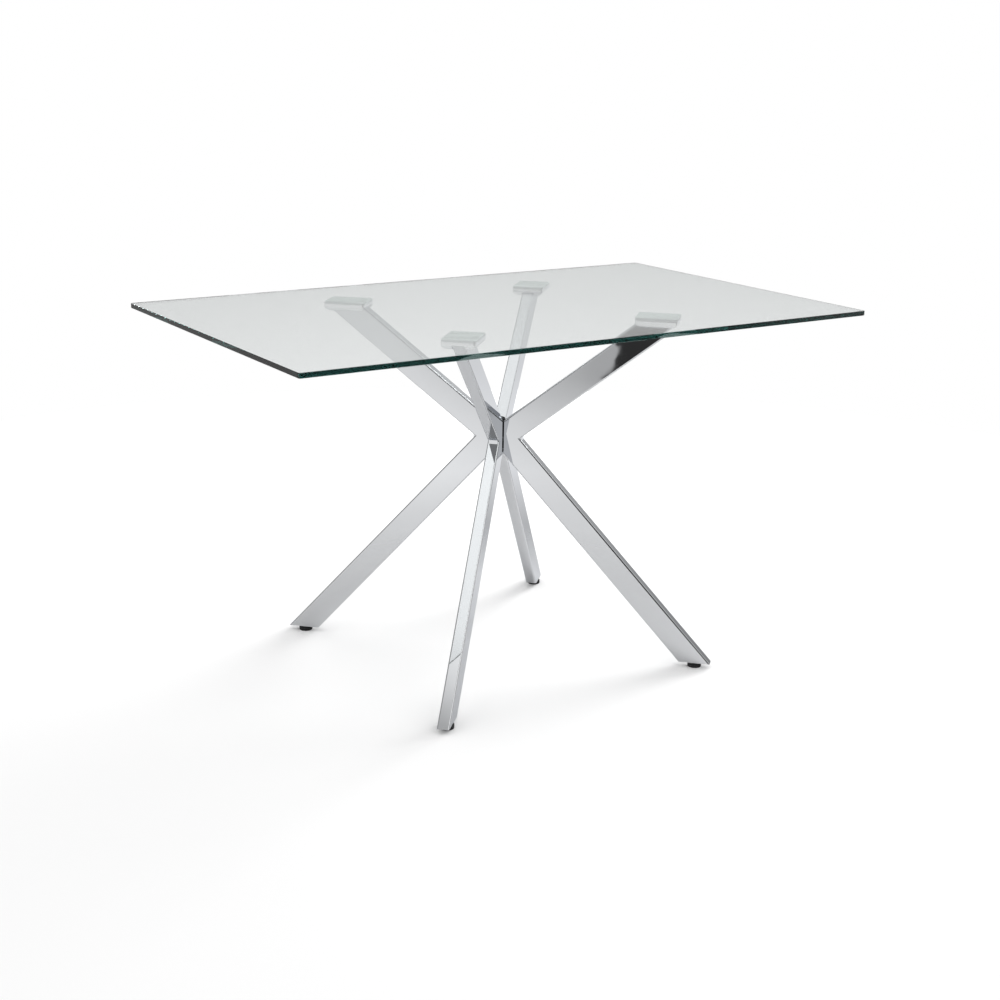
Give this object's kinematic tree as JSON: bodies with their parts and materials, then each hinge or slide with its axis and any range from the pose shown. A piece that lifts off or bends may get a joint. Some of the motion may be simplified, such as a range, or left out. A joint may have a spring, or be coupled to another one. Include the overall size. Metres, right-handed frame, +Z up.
{
  "type": "dining table",
  "caption": "Fixed-top dining table: a clear glass sheet bonded to a mitred chromed-tube base with splayed arms and legs, standing on screw-in levelling glides.",
  "frame": {"origin": "on the floor under the middle of the glass top, where the glides stand when screwed fully in", "axes": "+X along the length of the top, +Y along its width towards the back, +Z up"},
  "size_m": [1.296, 0.784, 0.75],
  "materials": {
    "clear_glass": "clear tempered float glass, polished edge that reads dark green",
    "chrome_tube": "bright chrome plate on steel tube",
    "polished_casting": "polished light casting with soft edges",
    "brushed_plate": "brushed plate, seen through the glass",
    "clear_bond": "cured clear glass adhesive",
    "bare_steel": "plain mild steel, welded",
    "zinc_steel": "zinc-plated steel fastener",
    "black_plastic": "black moulded plastic"
  },
  "bodies": {
    "base": {"arm_back_left": "chrome_tube", "arm_back_right": "chrome_tube", "arm_front_left": "chrome_tube", "arm_front_right": "chrome_tube", "bond_pad_back_left": "clear_bond", "bond_pad_back_right": "clear_bond", "bond_pad_front_left": "clear_bond", "bond_pad_front_right": "clear_bond", "foot_nut_back_left": "bare_steel", "foot_nut_back_right": "bare_steel", "foot_nut_front_left": "bare_steel", "foot_nut_front_right": "bare_steel", "foot_plate_back_left": "bare_steel", "foot_plate_back_right": "bare_steel", "foot_plate_front_left": "bare_steel", "foot_plate_front_right": "bare_steel", "glass_plate_back_left": "brushed_plate", "glass_plate_back_right": "brushed_plate", "glass_plate_front_left": "brushed_plate", "glass_plate_front_right": "brushed_plate", "glass_top": "clear_glass", "hub_bolt": "zinc_steel", "hub_cap": "black_plastic", "hub_lug_back_left": "bare_steel", "hub_lug_back_right": "bare_steel", "hub_lug_front_left": "bare_steel", "hub_lug_front_right": "bare_steel", "hub_nut": "zinc_steel", "hub_plug": "black_plastic", "hub_washer": "zinc_steel", "knee_weld_back_left": "chrome_tube", "knee_weld_back_right": "chrome_tube", "knee_weld_front_left": "chrome_tube", "knee_weld_front_right": "chrome_tube", "leg_back_left": "chrome_tube", "leg_back_right": "chrome_tube", "leg_front_left": "chrome_tube", "leg_front_right": "chrome_tube", "shoe_back_left": "polished_casting", "shoe_back_right": "polished_casting", "shoe_front_left": "polished_casting", "shoe_front_right": "polished_casting", "shoe_screws": "zinc_steel"},
    "stud_front_left": {"glide_stud_front_left": "zinc_steel"},
    "pad_front_left": {"glide_pad_front_left": "black_plastic"},
    "stud_front_right": {"glide_stud_front_right": "zinc_steel"},
    "pad_front_right": {"glide_pad_front_right": "black_plastic"},
    "stud_back_right": {"glide_stud_back_right": "zinc_steel"},
    "pad_back_right": {"glide_pad_back_right": "black_plastic"},
    "stud_back_left": {"glide_stud_back_left": "zinc_steel"},
    "pad_back_left": {"glide_pad_back_left": "black_plastic"}
  },
  "joints": [
    {"name": "lift_front_left", "type": "slide", "parent": "base", "child": "stud_front_left", "axis": [0, 0, -1], "range_m": [0, 0.01]},
    {"name": "turn_front_left", "type": "hinge", "parent": "stud_front_left", "child": "pad_front_left", "pos_m": [-0.30778, -0.30778, 0.003], "axis": [0, 0, -1], "range_deg": [0, 2880]},
    {"name": "lift_front_right", "type": "slide", "parent": "base", "child": "stud_front_right", "axis": [0, 0, -1], "range_m": [0, 0.01]},
    {"name": "turn_front_right", "type": "hinge", "parent": "stud_front_right", "child": "pad_front_right", "pos_m": [0.30778, -0.30778, 0.003], "axis": [0, 0, -1], "range_deg": [0, 2880]},
    {"name": "lift_back_right", "type": "slide", "parent": "base", "child": "stud_back_right", "axis": [0, 0, -1], "range_m": [0, 0.01]},
    {"name": "turn_back_right", "type": "hinge", "parent": "stud_back_right", "child": "pad_back_right", "pos_m": [0.30778, 0.30778, 0.003], "axis": [0, 0, -1], "range_deg": [0, 2880]},
    {"name": "lift_back_left", "type": "slide", "parent": "base", "child": "stud_back_left", "axis": [0, 0, -1], "range_m": [0, 0.01]},
    {"name": "turn_back_left", "type": "hinge", "parent": "stud_back_left", "child": "pad_back_left", "pos_m": [-0.30778, 0.30778, 0.003], "axis": [0, 0, -1], "range_deg": [0, 2880]}
  ],
  "couplings": [
    {"joint": "lift_front_left", "follows": "turn_front_left", "m_per_rad": 0.00019894},
    {"joint": "lift_front_right", "follows": "turn_front_right", "m_per_rad": 0.00019894},
    {"joint": "lift_back_right", "follows": "turn_back_right", "m_per_rad": 0.00019894},
    {"joint": "lift_back_left", "follows": "turn_back_left", "m_per_rad": 0.00019894}
  ]
}
